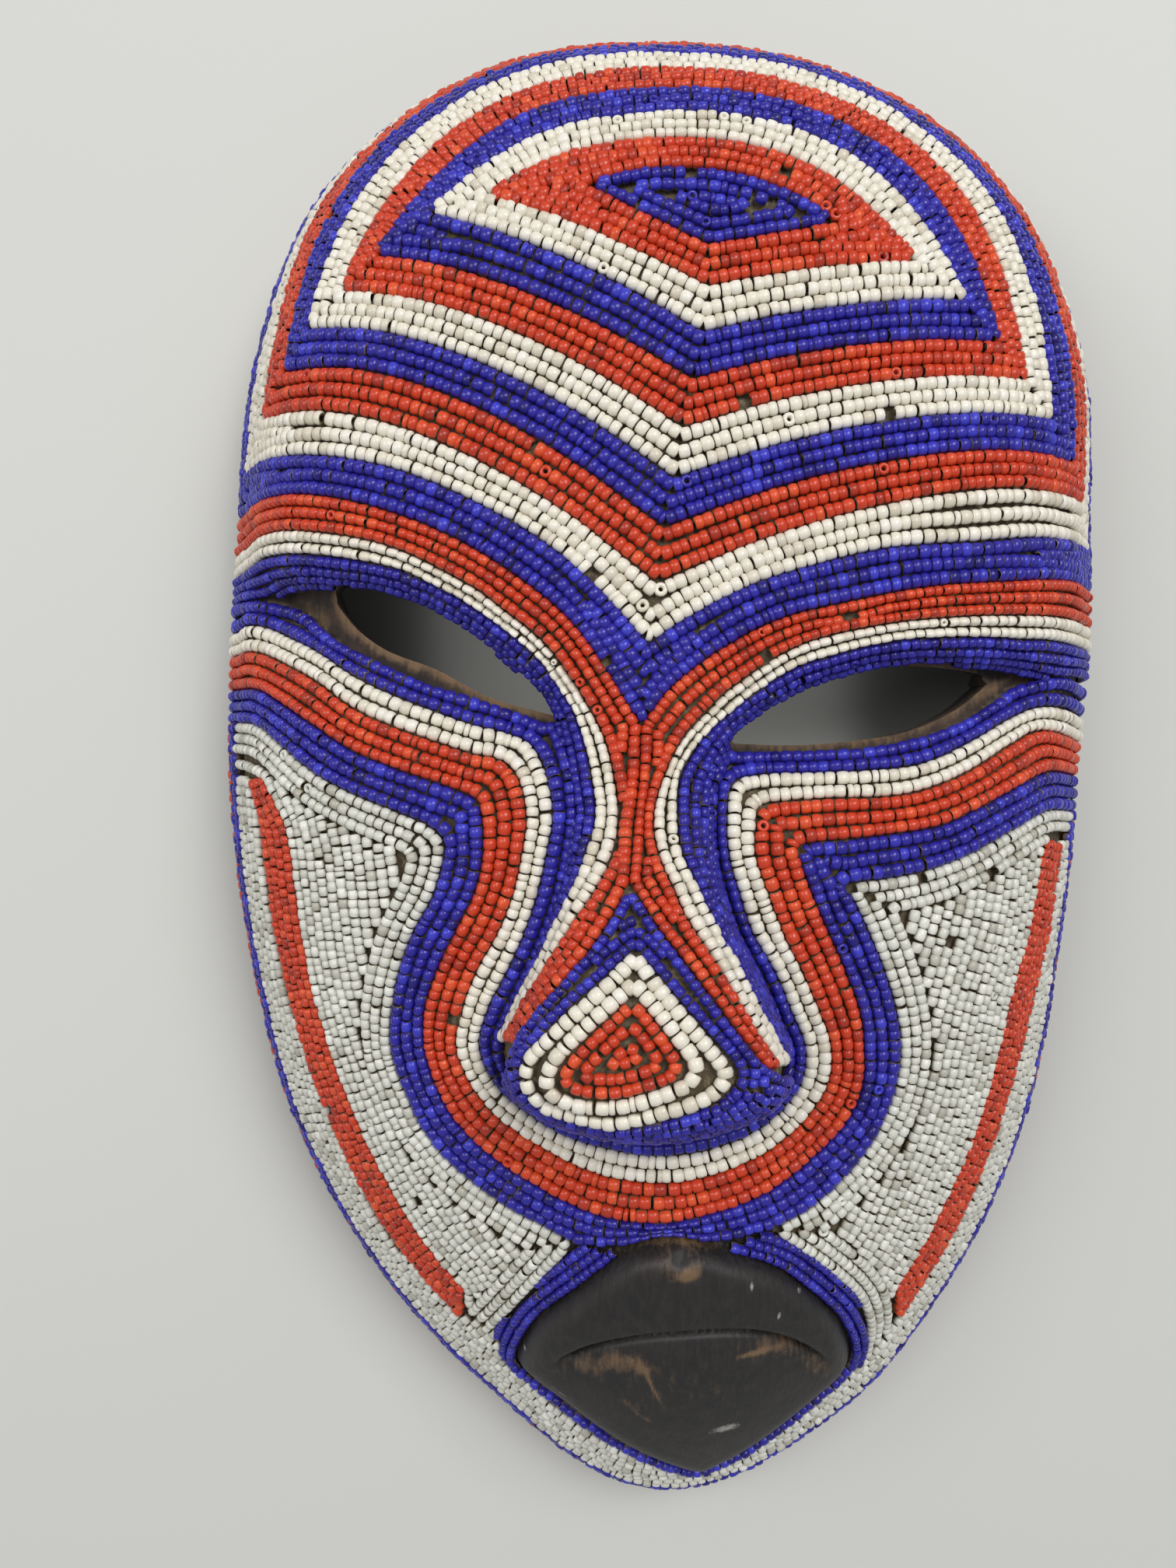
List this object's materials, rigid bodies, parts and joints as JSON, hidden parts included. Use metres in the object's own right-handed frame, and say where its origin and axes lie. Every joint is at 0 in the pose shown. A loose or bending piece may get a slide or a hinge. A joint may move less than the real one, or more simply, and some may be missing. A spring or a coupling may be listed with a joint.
{
  "type": "beaded face mask",
  "caption": "Carved wooden face mask, hollow behind, its front covered in bands of red, blue and white glass beads; eye slits, long nose and bare wood mouth.",
  "frame": {"origin": "middle of the bounding box, on the table the rim lies on", "axes": "+Z out of the face, +Y toward the crown, +X toward the right edge as the face is seen"},
  "size_m": [0.2327, 0.3985, 0.1058],
  "materials": {
    "wood": "matte",
    "red_beads": "gloss",
    "blue_beads": "gloss",
    "white_beads": "gloss",
    "grey_beads": "gloss"
  },
  "bodies": {
    "root": {"wooden_mask": "wood", "blue_lens": "blue_beads", "red_ring_1": "red_beads", "white_ring_1": "white_beads", "blue_ring_1": "blue_beads", "red_ring_2": "red_beads", "white_ring_2": "white_beads", "blue_ring_2": "blue_beads", "red_ring_3": "red_beads", "white_ring_3": "white_beads", "blue_ring_3": "blue_beads", "red_crown_edge": "red_beads", "white_crown_edge": "white_beads", "red_brow_left": "red_beads", "white_brow_left": "white_beads", "blue_brow_left": "blue_beads", "red_brow_right": "red_beads", "white_brow_right": "white_beads", "blue_brow_right": "blue_beads", "blue_cheek_band": "blue_beads", "white_cheek_band": "white_beads", "red_cheek_band": "red_beads", "blue_jaw_band": "blue_beads", "grey_cheek_left": "grey_beads", "red_stripe_left": "red_beads", "grey_cheek_right": "grey_beads", "red_stripe_right": "red_beads", "blue_mouth_band": "blue_beads", "white_edge": "white_beads", "blue_edge": "blue_beads", "red_edge": "red_beads", "blue_nose_band": "blue_beads", "white_nose_band": "white_beads", "red_nose_field": "red_beads"}
  },
  "joints": []
}
